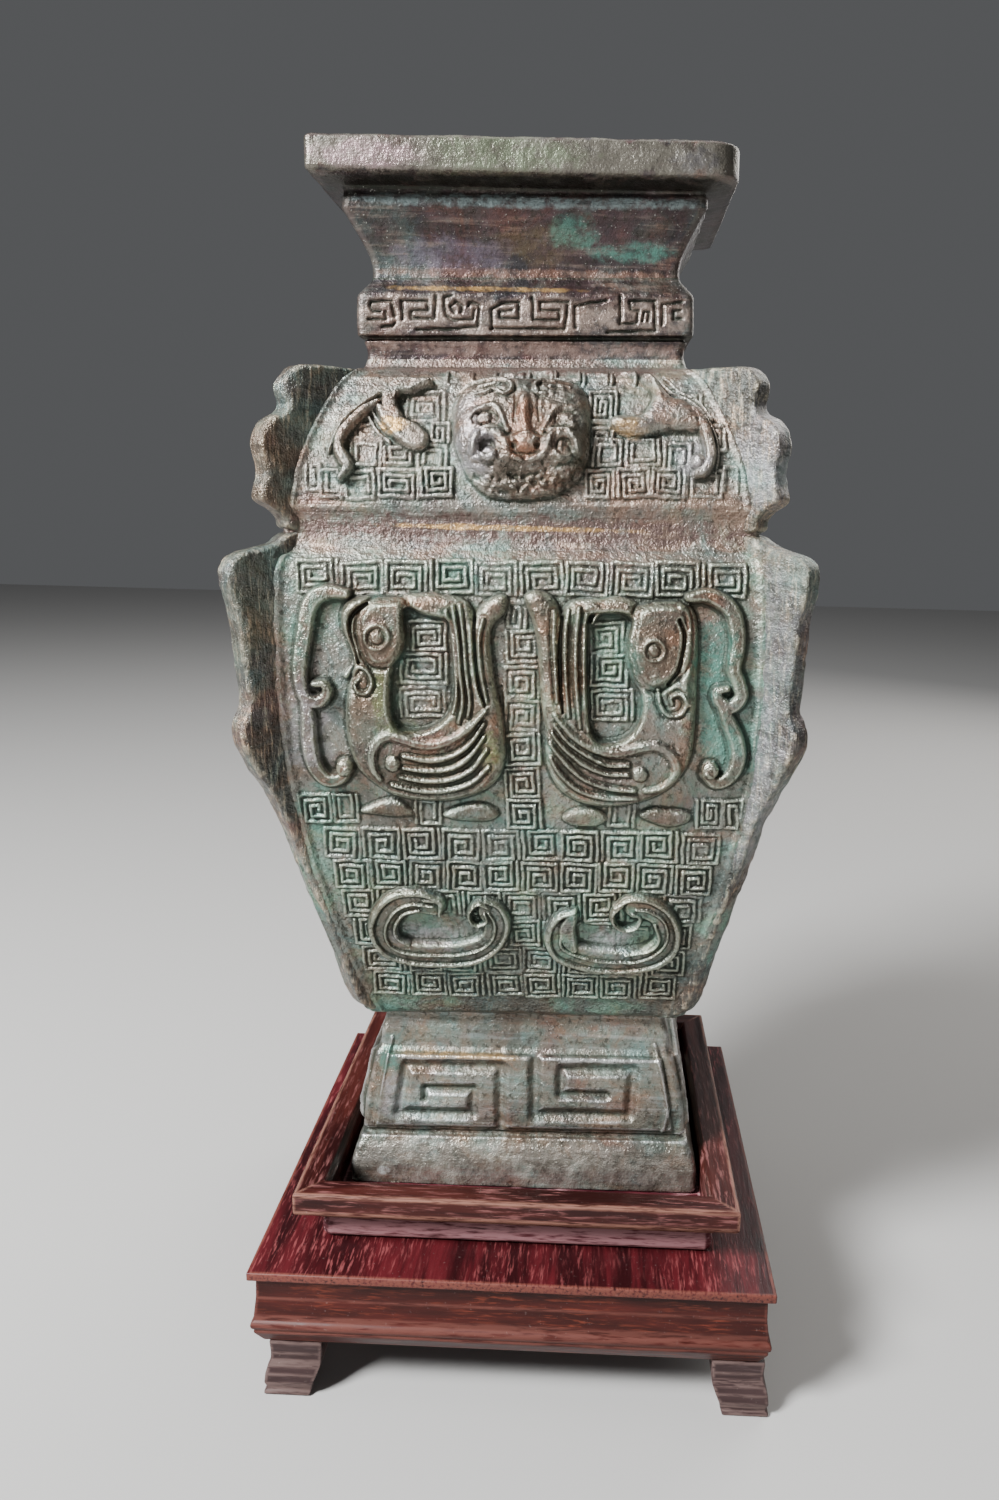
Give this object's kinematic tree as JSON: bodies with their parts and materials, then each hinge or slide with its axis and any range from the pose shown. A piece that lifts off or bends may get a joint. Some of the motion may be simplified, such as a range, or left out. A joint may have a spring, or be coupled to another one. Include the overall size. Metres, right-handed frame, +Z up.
{
  "type": "square bronze vase on stand",
  "caption": "Square hollow bronze vase with corner flanges and relief birds, standing loose in a two-step lacquered wooden stand.",
  "frame": {"origin": "on the ground, under the middle of the overall width and depth", "axes": "+Z up, +X to the viewer's right seen from the front, the front faces -Y"},
  "size_m": [0.165, 0.158, 0.3648],
  "materials": {
    "patinated_bronze": "brown bronze with grey-green patina, verdigris in the recesses and worn, brighter edges",
    "lacquered_wood": "dark red lacquer, streaked and rubbed pale along the edges"
  },
  "bodies": {
    "root": {"vase": "patinated_bronze", "tray_frame": "lacquered_wood", "stand_riser": "lacquered_wood", "stand_board": "lacquered_wood", "stand_apron": "lacquered_wood", "foot_front_left": "lacquered_wood", "foot_front_right": "lacquered_wood", "foot_back_left": "lacquered_wood", "foot_back_right": "lacquered_wood"}
  },
  "joints": []
}
